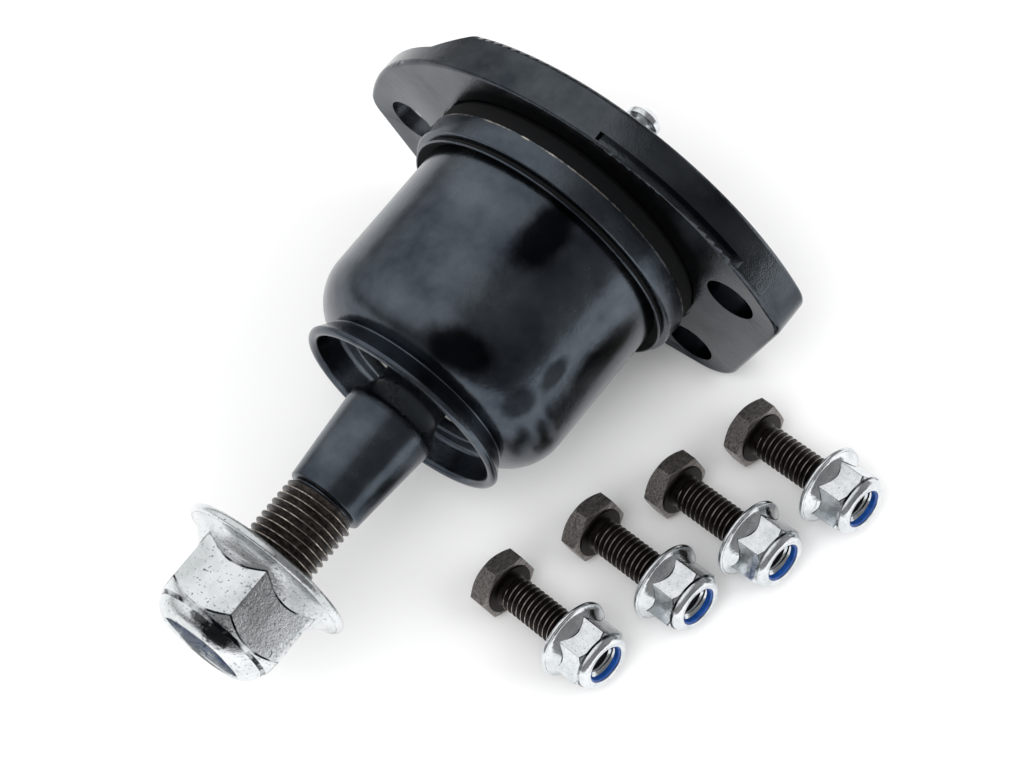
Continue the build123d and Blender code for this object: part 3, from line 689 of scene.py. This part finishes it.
def bright_zinc(finish, wave, dark, scratch, dark_patches=()):
    """Bright zinc plate on cold-formed steel: a silvery mirror, slightly clouded, with soft waves and
    slanting drag marks in the flats, small dark pits and dark spots."""
    material, tree, place = new_material(Metallic=1.0)
    clouds = add_node(tree, "TexNoise", {
        "Vector": place, "Scale": per_mm(wave * 1.5), "Detail": 7.0, "Roughness": 0.65}).outputs["Fac"]
    pits = add_node(tree, "TexNoise", {
        "Vector": place, "Scale": per_mm(wave * 0.12), "Detail": 3.0}).outputs["Fac"]
    waves = add_node(tree, "TexNoise", {"Vector": place, "Scale": per_mm(wave), "Detail": 2.0})
    slant = add_node(tree, "Mapping", {
        "Vector": place, "Rotation": (0.5, 0.3, 0.9), "Scale": (0.06, 1.0, 1.0)}).outputs["Vector"]
    drags = add_node(tree, "TexNoise", {
        "Vector": slant, "Scale": per_mm(wave * 0.1), "Detail": 4.0, "Roughness": 0.7})
    shade = add_node(tree, "ValToRGB", {"Fac": clouds}, [(0.35, linear(dark)), (0.6, linear(finish.zinc))])
    gloss = add_node(tree, "ValToRGB", {"Fac": clouds}, [(0.3, grey(0.2)), (0.7, grey(0.08))])
    pitted = add_node(tree, "ValToRGB", {"Fac": pits}, [(0.3, linear(finish.zinc_pit)), (0.38, grey(1.0))])
    colours = add_node(tree, "Mix", {0: 1.0, 6: shade.outputs["Color"], 7: pitted.outputs["Color"]},
                       data_type="RGBA", blend_type="MULTIPLY").outputs[2]
    for dark_patch in dark_patches:
        colours = darken_patch(tree, place, pits, colours, finish.dark_patch, *dark_patch)
    soft = add_node(tree, "Bump", {"Height": waves.outputs["Fac"], "Strength": 0.25, "Distance": 0.3 * MM})
    fine = add_node(tree, "Bump", {
        "Height": drags.outputs["Fac"], "Normal": soft.outputs["Normal"], "Strength": scratch,
        "Distance": 0.1 * MM})
    return set_shader(material, Base_Color=colours, Roughness=gloss.outputs["Color"],
                      Normal=fine.outputs["Normal"])


def bright_zinc_large(finish):
    """The plate on the stud's nut: greyer, dragged and with dark spots."""
    return bright_zinc(finish, 4.0, finish.zinc_grey, 0.5, NUT_DARK_SPOTS)


def bright_zinc_small(finish):
    """The plate on the small parts: clean, bright and smooth."""
    return bright_zinc(finish, 1.5, finish.zinc_dull, 0.12)


def zinc_painted_corner_reflection(finish):
    """Painted dark reflection in the nuts' corners and on the flange's rim: thin smoky lines, broken by bright
    spots.
    """
    return grained((0.45, finish.corner_reflection), (0.62, finish.zinc_dull), 3.0, 5.0, Metallic=1.0, Roughness=0.2)


def black_oxide(dark, light):
    """Black oxide on machined steel: warm brown-black with fine ground streaks that catch light."""
    return grained((0.35, dark), (0.75, light), 0.25, 4.0, 0.6, (0.2, 0.08), (1.0, 0.05, 1.0),
                   Metallic=0.9, Roughness=0.38)


def rolled_black_oxide(finish):
    """The oxide on the bolts' threads: deep brown-black."""
    return black_oxide(finish.phosphate, finish.oxide)


def ground_black_oxide(finish):
    """The oxide on the bolts' ground heads: grey-brown, with bright streaks."""
    return black_oxide(finish.oxide_ground, finish.oxide_light)


def moulded_nylon(finish):
    """Moulded blue nylon: saturated and slightly waxy."""
    return moulded(finish.nylon, finish.nylon_dark, 0.8, Roughness=0.32, IOR=1.53)


def moulded_nitrile(finish):
    """Moulded nitrile rubber: soft black, without gleams."""
    return moulded(finish.rubber, finish.coat_worn, 0.6, Roughness=0.6, IOR=1.52)


def moulded_acetal(finish):
    """Moulded acetal: creamy white and waxy."""
    return moulded(finish.plastic, finish.zinc_dull, 1.0, Roughness=0.4, IOR=1.48)


def tempered_steel(finish):
    """Tempered spring steel: grey metal with a fine drawn grain."""
    return moulded(finish.spring, finish.iron, 0.5, Roughness=0.3, IOR=1.5, Metallic=1.0)


def sintered_iron(finish):
    """Oiled sintered iron: dull grey metal with open pores."""
    return moulded(finish.iron, finish.phosphate_edge, 0.3, Roughness=0.5, IOR=1.5, Metallic=0.9)


def uncoated_paper(shade):
    """Uncoated paper: even, without gloss, with a barely visible fibre tone."""
    material, tree, place = new_material(Roughness=0.95, Specular_IOR_Level=0.1)
    light = linear(shade)
    dark = [v * 0.99 for v in light[:3]] + [1.0]
    fibre = add_node(tree, "TexNoise", {"Vector": place, "Scale": per_mm(30), "Detail": 2.0})
    tint = add_node(tree, "ValToRGB", {"Fac": fibre.outputs["Fac"]}, [(0.0, dark), (1.0, light)])
    return set_shader(material, Base_Color=tint.outputs["Color"])


def matt_paper(finish):
    """White uncoated paper of the floor: bright, with soft shadows."""
    return uncoated_paper(finish.paper)


def grey_paper(finish):
    """Grey uncoated paper of the flag: a dim patch in the mirrors."""
    return uncoated_paper(finish.flag)


def shared(maker):
    """The material that a maker gives, made once and named after it."""
    name = maker.__name__
    if name not in bpy.data.materials:
        maker(bpy.context.scene.ball_joint_finish).name = name
    return bpy.data.materials[name]


# ---------------------------------------------------------------- pieces
class BALLJOINT_OT_plate(bpy.types.Operator):
    """Give the mounting plate and its seal their finishes"""
    bl_idname = "ball_joint.plate"
    bl_label = "Mounting plate"

    def execute(self, context):
        keep_node("mounting_plate", shared(glossy_electrocoat))
        keep_node("cover_seal", shared(moulded_nitrile))
        return {"FINISHED"}


def bell_outline(sizes):
    """Cross-section of the bell, from its flange over the shoulder to the collar and back inside."""
    bore = sizes.bell_r - sizes.bell_wall
    centre_r = sizes.bell_r - sizes.shoulder_r
    close = math.asin((sizes.collar_foot - sizes.shoulder_start) / sizes.shoulder_r)
    shoulder = arc((centre_r, sizes.shoulder_start), sizes.shoulder_r, 0, math.degrees(close) - 6, 16)
    lip = sizes.collar_wall / 2
    lip_height = sizes.collar_top - lip
    inner_neck = sizes.collar_neck_r - sizes.collar_wall + 0.8 * MM
    seat_r = bore - sizes.shoulder_r * 0.35
    under = sizes.mouth_floor - sizes.mouth_thick
    foot = rounded([
        (bore, -sizes.seat_deep, 0), (sizes.flange_r, -sizes.seat_deep, 0),
        (sizes.flange_r, sizes.flange_thick, 0.3 * MM), (sizes.bell_r, sizes.flange_thick, 0.4 * MM),
        (sizes.bell_r, sizes.shoulder_start, 0),
    ])
    end = (centre_r + sizes.shoulder_r * math.cos(close), sizes.collar_foot)
    neck = rounded([
        (*shoulder[-1], 0), (*end, 0.7 * MM), (sizes.collar_neck_r, sizes.collar_foot + 0.5 * MM, 1.2 * MM),
        (sizes.collar_r, lip_height, 0),
    ])
    rim = arc((sizes.collar_r - lip, lip_height), lip, 0, 180, 14)
    inside = rounded([
        (sizes.collar_r - sizes.collar_wall, lip_height, 0), (inner_neck, sizes.mouth_floor, 1.0 * MM),
        (sizes.mouth_r, sizes.mouth_floor, 0.5 * MM), (sizes.mouth_r, under, 0.3 * MM),
        (seat_r, under, 0), (bore, sizes.shoulder_start, 0),
    ])
    return foot[:-1] + shoulder + neck[1:-1] + rim + inside[1:]


def band_outline(sizes):
    """Cross-section of the clinch band: its foot, the wide step, a groove and a turned lip."""
    inner = sizes.bell_r + sizes.fit_gap
    over = sizes.flange_r + sizes.fit_gap
    soft = BAND_SOFT
    lip_foot = sizes.band_height - soft
    return rounded([
        (over, -sizes.seat_deep, 0), (sizes.band_r - 0.7 * MM, -sizes.seat_deep, 0),
        (sizes.band_r - soft, 0.4 * MM, soft), (sizes.band_r - soft, sizes.band_foot - 0.1 * MM, 0),
        (sizes.band_r, sizes.band_foot, soft / 2), (sizes.band_r, sizes.band_foot + soft, 0),
        (sizes.band_r, sizes.band_step, soft * 1.5),
        (sizes.band_groove_r, sizes.band_step + 0.2 * MM, soft / 2),
        (sizes.band_groove_r, lip_foot - 0.1 * MM, 0),
        (sizes.band_lip_r, lip_foot, soft / 3), (sizes.band_lip_r, sizes.band_height, soft / 2),
        (sizes.band_lip_r - soft, sizes.band_height, soft / 2), (inner, sizes.band_step, 0),
        (inner, sizes.flange_thick, 0), (over, sizes.flange_thick, 0),
    ])


def band_finish(sizes, middle):
    """Which finish a face of the band takes: 0 the coat, 1 the painted shade in the groove and under the foot,
    2 the painted highlight along the foot's upper edge.
    """
    if sizes.band_foot < middle.z < sizes.band_foot + BAND_SOFT:
        return 2
    groove = middle.z > sizes.band_step and middle.xy.length < sizes.band_groove_r + 0.1 * MM
    return 1 if groove or middle.z < sizes.band_foot - 0.05 * MM else 0


class BALLJOINT_OT_housing(bpy.types.Operator):
    """Turn the bell housing and the clinch band"""
    bl_idname = "ball_joint.housing"
    bl_label = "Bell and band"

    def execute(self, context):
        sizes = context.scene.ball_joint_housing
        mesh = bmesh.new()
        turn_profile(mesh, bell_outline(sizes), round_angles(sizes.facets), loop=True)
        finish_piece(mesh, "housing_bell_turned", joint_place(), "housing", ["housing_bell"], "black_coat",
                     shared(bell_coat_painted_reflections))
        mesh = bmesh.new()
        turn_profile(mesh, band_outline(sizes), round_angles(sizes.facets), loop=True)
        for face in mesh.faces:
            face.material_index = band_finish(sizes, face.calc_center_median())
        finish_piece(mesh, "clinch_band_turned", joint_place(), "housing", ["clinch_band"], "black_coat",
                     shared(satin_electrocoat), shared(band_painted_shade), shared(band_edge_highlight))
        return {"FINISHED"}


class BALLJOINT_OT_bearings(bpy.types.Operator):
    """Give the hidden bearings and springs their finishes"""
    bl_idname = "ball_joint.bearings"
    bl_label = "Bearings"

    def execute(self, context):
        for node in ("ball_cap", "pressure_plate", "preload_spring"):
            keep_node(node, shared(tempered_steel))
        keep_node("bearing_shell", shared(sintered_iron))
        keep_node("bearing_seat", shared(moulded_acetal))
        return {"FINISHED"}


class BALLJOINT_OT_stud(bpy.types.Operator):
    """Turn the ball stud with its taper and screw thread"""
    bl_idname = "ball_joint.stud"
    bl_label = "Ball stud"

    def execute(self, context):
        sizes = context.scene.ball_joint_stud
        angles = round_angles(sizes.facets)
        crest = sizes.thread_major / 2
        root = crest - sizes.thread_depth
        first = math.degrees(math.asin(sizes.split_gap / sizes.ball_r))
        last = math.degrees(math.acos(sizes.neck_r / sizes.ball_r))
        shoulder = sizes.taper_start - sizes.shoulder_rise
        below = sizes.ball_height - sizes.peg_length
        points = rounded([(0, below, 0), (sizes.peg_r, below, 0.3 * MM),
                          (sizes.peg_r, sizes.ball_height + sizes.split_gap, 0)])
        points += arc((0, sizes.ball_height), sizes.ball_r, first, last, 24)
        points += rounded([
            (sizes.neck_r, shoulder - 2.5 * MM, 0), (sizes.neck_r, shoulder - 1.0 * MM, 2 * MM),
            (sizes.taper_r, sizes.taper_start - 1.2 * MM, 2 * MM),
            (sizes.taper_r, sizes.taper_start, 0.6 * MM),
            (sizes.taper_end_r, sizes.taper_end, 0.4 * MM), (root, sizes.taper_end + 0.4 * MM, 0),
            (root, sizes.thread_start, 0),
        ])
        mesh = bmesh.new()
        turn_profile(mesh, points, angles)
        finish_piece(mesh, "stud_body", joint_place(), "stud", ["ball_stud"], "stud_coat",
                     shared(satin_electrocoat))
        mesh = bmesh.new()
        turn_profile(mesh, [(0, sizes.thread_start), (root, sizes.thread_start)], angles)
        screw_thread(mesh, angles, crest, root, sizes.pitch, sizes.thread_start, sizes.stud_end,
                     CREST_HIGHLIGHT_ROWS)
        turn_profile(mesh, [(root, sizes.stud_end), (0, sizes.stud_end)], angles)
        finish_piece(mesh, "stud_thread", joint_place(), "stud", [], "stud_coat", shared(oiled_phosphate),
                     shared(crest_highlight))
        return {"FINISHED"}


def insert_ring(mesh, nut, angles):
    """A nylon ring with a rounded inner rim, a hair clear of its pocket all round."""
    outer = nut.insert_r - INSERT_CLEAR
    low = nut.insert_from + INSERT_CLEAR
    high = nut.insert_from + nut.insert_wide - INSERT_CLEAR
    soft = (outer - nut.insert_bore) * 0.3
    corners = [(outer, low, 0), (outer, high, 0), (nut.insert_bore, high, soft), (nut.insert_bore, low, 0)]
    turn_profile(mesh, rounded(corners), angles, loop=True)


def finish_nut(nut, bolt, place, zinc, formed, ring):
    """A nut that fits a bolt's thread, and its insert; each has its name, its body and its node."""
    angles = hex_angles(nut.flats, nut.corner_round, nut.facets)
    mesh = bmesh.new()
    flange_nut(mesh, nut, angles, bolt.thread_depth, bolt.pitch)
    name, body, node = formed
    finish_piece(mesh, name, place, body, [node], "bright_zinc", zinc, shared(zinc_painted_corner_reflection))
    mesh = bmesh.new()
    insert_ring(mesh, nut, angles)
    name, body, node = ring
    finish_piece(mesh, name, place, body, [node], "blue_nylon", shared(moulded_nylon))


class BALLJOINT_OT_stud_nut(bpy.types.Operator):
    """Shape the flange nut on the stud and its nylon insert"""
    bl_idname = "ball_joint.stud_nut"
    bl_label = "Stud nut"

    def execute(self, context):
        nut = context.scene.ball_joint_stud_nut
        place = joint_place() @ Matrix.Translation((0, 0, nut.face))
        finish_nut(nut, context.scene.ball_joint_stud, place, shared(bright_zinc_large),
                   ("stud_nut_formed", "nut", "stud_nut"), ("stud_nut_ring", "nut_collar", "stud_nut_insert"))
        return {"FINISHED"}


class BALLJOINT_OT_fitting(bpy.types.Operator):
    """Turn the grease fitting on the back of the plate"""
    bl_idname = "ball_joint.fitting"
    bl_label = "Grease fitting"

    def execute(self, context):
        sizes = context.scene.ball_joint_fitting
        angles = hex_angles(sizes.flats, sizes.corner_round, sizes.facets)
        tip = sizes.seat - sizes.out
        foot = sizes.seat - sizes.hex_height
        ball_seat = tip + sizes.seat_deep

        def outside(angle):
            side = hex_radius(angle, sizes.flats, sizes.corner_round)
            cut = (side - sizes.flats / 2) * 0.6
            soft = 0.12 * MM
            return [(sizes.seat_r, ball_seat), (sizes.seat_r, tip)] + rounded([
                (sizes.seat_r + 0.1 * MM, tip, 0), (sizes.nose_r, tip, 0.3 * MM),
                (sizes.head_r, tip + sizes.head_from, 0.3 * MM),
                (sizes.head_r, tip + sizes.head_to, 0.3 * MM),
                (sizes.neck_r, tip + sizes.neck_from, 0.4 * MM),
                (sizes.neck_r, foot - sizes.flare_rise, 0.5 * MM),
                (sizes.neck_r + sizes.flare, foot, 0),
            ]) + [
                (sizes.flats / 2 - sizes.chamfer, foot), (side - soft, foot + cut + soft),
                (side, foot + cut + 2 * soft), (side, sizes.seat), (sizes.thread_r, sizes.seat),
            ]

        mesh = bmesh.new()
        skin(mesh, outside, angles)
        root = sizes.thread_r - sizes.thread_depth
        end = sizes.seat + sizes.thread_length
        turn_profile(mesh, [(sizes.thread_r, sizes.seat), (root, sizes.seat)], angles)
        screw_thread(mesh, angles, sizes.thread_r, root, sizes.pitch, sizes.seat, end)
        turn_profile(mesh, [(root, end), (sizes.way_r, end), (sizes.way_r, ball_seat),
                            (sizes.seat_r, ball_seat)], angles)
        finish_piece(mesh, "grease_fitting", joint_place(), "housing", ["grease_fitting_body"], "bright_zinc",
                     shared(bright_zinc_small))
        for node in ("grease_check_ball", "grease_check_spring"):
            keep_node(node, shared(tempered_steel))
        return {"FINISHED"}


def bolt_mesh(mesh, sizes):
    """A hexagon bolt with a washer face and a screw thread, the underside of its head at height 0."""
    angles = hex_angles(sizes.flats, sizes.corner_round, sizes.facets)
    top = -sizes.head
    soft = 0.1 * MM
    ring = sizes.flats / 2 - 0.3 * MM
    washer_foot = sizes.washer_r + WASHER_BLEND
    root = sizes.major / 2 - sizes.thread_depth

    def head(angle):
        side = hex_radius(angle, sizes.flats, sizes.corner_round)
        over = side - sizes.flats / 2
        cut = 0.12 * MM + over * 0.62
        under = over * 0.3
        return [
            (0, top), (ring * 0.5, top), (ring - soft, top), (ring, top + soft * 0.3),
            (side - soft, top + cut), (side, top + cut + soft), (side, -under - soft), (side - soft, -under),
            (washer_foot, 0),
        ]

    skin(mesh, head, angles)
    turn_profile(mesh, rounded([
        (washer_foot, 0, 0), (sizes.washer_r, sizes.washer_rise, 0.12 * MM),
        (root + 0.5 * MM, sizes.washer_rise, 0.3 * MM), (root, sizes.thread_start - 0.2 * MM, 0.2 * MM),
        (root, sizes.thread_start, 0),
    ]), angles)
    screw_thread(mesh, angles, sizes.major / 2, root, sizes.pitch, sizes.thread_start, sizes.length,
                 CREST_HIGHLIGHT_ROWS)
    turn_profile(mesh, [(root, sizes.length), (0, sizes.length)], angles)
    for face in mesh.faces:
        if face.calc_center_median().z < 0:
            face.material_index = 2


class BALLJOINT_OT_bolts(bpy.types.Operator):
    """Shape the loose bolts, their lock nuts and the nuts' blue inserts"""
    bl_idname = "ball_joint.bolts"
    bl_label = "Loose bolts"

    def execute(self, context):
        sizes = context.scene.ball_joint_bolts
        nut = context.scene.ball_joint_lock_nut
        for number in range(1, sizes.count + 1):
            mesh = bmesh.new()
            bolt_mesh(mesh, sizes)
            finish_piece(mesh, f"bolt_{number}", bolt_place(number, sizes.roll), "housing",
                         [f"mounting_bolt_{number}"], "black_oxide",
                         shared(rolled_black_oxide), shared(crest_highlight), shared(ground_black_oxide))
            place = bolt_place(number, nut.roll) @ Matrix.Translation((0, 0, nut.face))
            finish_nut(nut, sizes, place, shared(bright_zinc_small),
                       (f"lock_nut_{number}_formed", f"lock_nut_{number}", f"lock_nut_{number}"),
                       (f"blue_ring_{number}", f"lock_collar_{number}", f"lock_nut_insert_{number}"))
        return {"FINISHED"}


# ---------------------------------------------------------------- stage
def stand(data, place, turn):
    """Puts a new object of some data in its place."""
    thing = bpy.data.objects.new(data.name, data)
    bpy.context.scene.collection.objects.link(thing)
    thing.location = place
    thing.rotation_euler = turn.to_euler()
    return thing


def sheet_of_paper(name, size, place, facing, material, seen=True):
    """A flat square card, marked as stage."""
    data = bpy.data.meshes.new(name)
    half = size / 2
    corners = [(-half, -half, 0), (half, -half, 0), (half, half, 0), (-half, half, 0)]
    data.from_pydata(corners, [], [(0, 1, 2, 3)])
    data.materials.append(material)
    card = stand(data, place, Vector(facing).to_track_quat("Z", "Y"))
    card.visible_camera = card.visible_shadow = card.visible_diffuse = seen


def soft_box(name, power, size, place, target):
    """A square area lamp that looks at a point."""
    data = bpy.data.lights.new(name, "AREA")
    data.energy = power
    data.size = size
    lamp = stand(data, place, (Vector(target) - Vector(place)).to_track_quat("-Z", "Y"))
    lamp.visible_glossy = False


def studio_surround(strength, bright_side):
    """Even soft light; mirrored, a room that is white on one side and dim on the other."""
    world = bpy.data.worlds.new("studio_surround")
    world.use_nodes = True
    tree = world.node_tree
    tree.nodes.clear()

    rays = add_node(tree, "LightPath").outputs
    around = add_node(tree, "TexCoord").outputs["Generated"]
    side = add_node(tree, "VectorMath", {0: around, 1: bright_side}, operation="DOT_PRODUCT")
    share = add_node(tree, "MapRange", {"Value": side.outputs["Value"], "From Min": -1.0, "From Max": 1.0})
    shade = add_node(tree, "ValToRGB", {"Fac": share.outputs["Result"]},
                     [(place, grey(value)) for place, value in ROOM_SHADES])
    room = add_node(tree, "Background", {"Color": shade.outputs["Color"]})
    plain = add_node(tree, "Background", {"Strength": strength, "Color": grey(1.0)})
    white = add_node(tree, "Background", {"Color": grey(1.0)})
    lit = add_node(tree, "MixShader", {
        "Fac": rays["Is Glossy Ray"], 1: plain.outputs["Background"], 2: room.outputs["Background"]})
    seen = add_node(tree, "MixShader", {
        "Fac": rays["Is Camera Ray"], 1: lit.outputs["Shader"], 2: white.outputs["Background"]})
    add_node(tree, "OutputWorld", {"Surface": seen.outputs["Shader"]})
    return world


class BALLJOINT_OT_stage(bpy.types.Operator):
    """Lay the floor, hang the lamps and stand the camera"""
    bl_idname = "ball_joint.stage"
    bl_label = "Studio"

    def execute(self, context):
        stage = context.scene.ball_joint_stage
        sheet_of_paper("floor", stage.floor_size, (0, 0, stage.floor_height), (0, 0, 1),
                       shared(matt_paper))
        sheet_of_paper("grey_flag", stage.flag_size, stage.flag_place, stage.flag_facing,
                       shared(grey_paper), seen=False)
        soft_box("key_lamp", stage.key_power, stage.key_size, stage.key_place, stage.lamp_target)
        soft_box("side_lamp", stage.side_power, stage.side_size, stage.side_place, stage.lamp_target)
        context.scene.world = studio_surround(stage.sky_strength, stage.bright_side)
        data = bpy.data.cameras.new("camera")
        data.sensor_width = SENSOR_WIDTH
        data.lens = stage.camera_focal / RENDER_WIDTH * SENSOR_WIDTH
        forward = Vector(stage.camera_forward).normalized()
        right = forward.cross(Vector(stage.camera_up)).normalized()
        turned = Matrix((right, right.cross(forward), -forward)).transposed()
        context.scene.camera = stand(data, stage.camera_place, turned)
        context.scene.view_settings.view_transform = "Standard"
        return {"FINISHED"}


# ---------------------------------------------------------------- panel and registration
OPERATORS = (
    BALLJOINT_OT_plate, BALLJOINT_OT_housing, BALLJOINT_OT_bearings, BALLJOINT_OT_stud, BALLJOINT_OT_stud_nut,
    BALLJOINT_OT_fitting, BALLJOINT_OT_bolts, BALLJOINT_OT_stage,
)
SETTINGS = {
    "ball_joint_housing": HousingSettings, "ball_joint_stud": StudSettings,
    "ball_joint_stud_nut": StudNutSettings, "ball_joint_bolts": BoltSettings,
    "ball_joint_lock_nut": LockNutSettings, "ball_joint_fitting": FittingSettings,
    "ball_joint_finish": FinishSettings, "ball_joint_stage": StageSettings,
}


class BALLJOINT_PT_panel(bpy.types.Panel):
    """The ball joint's pieces"""
    bl_label = "Ball joint"
    bl_space_type = "VIEW_3D"
    bl_region_type = "UI"
    bl_category = "Ball joint"

    def draw(self, context):
        for operator in OPERATORS:
            self.layout.operator(operator.bl_idname)


def register():
    for group in (*SETTINGS.values(), *OPERATORS, BALLJOINT_PT_panel):
        bpy.utils.register_class(group)
    for name, group in SETTINGS.items():
        setattr(bpy.types.Scene, name, PointerProperty(type=group))


def unregister():
    for name in SETTINGS:
        delattr(bpy.types.Scene, name)
    for group in reversed((*SETTINGS.values(), *OPERATORS, BALLJOINT_PT_panel)):
        bpy.utils.unregister_class(group)


def main():
    register()
    for operator in OPERATORS:
        group, name = operator.bl_idname.split(".")
        getattr(getattr(bpy.ops, group), name)()


if __name__ == "__main__":
    main()
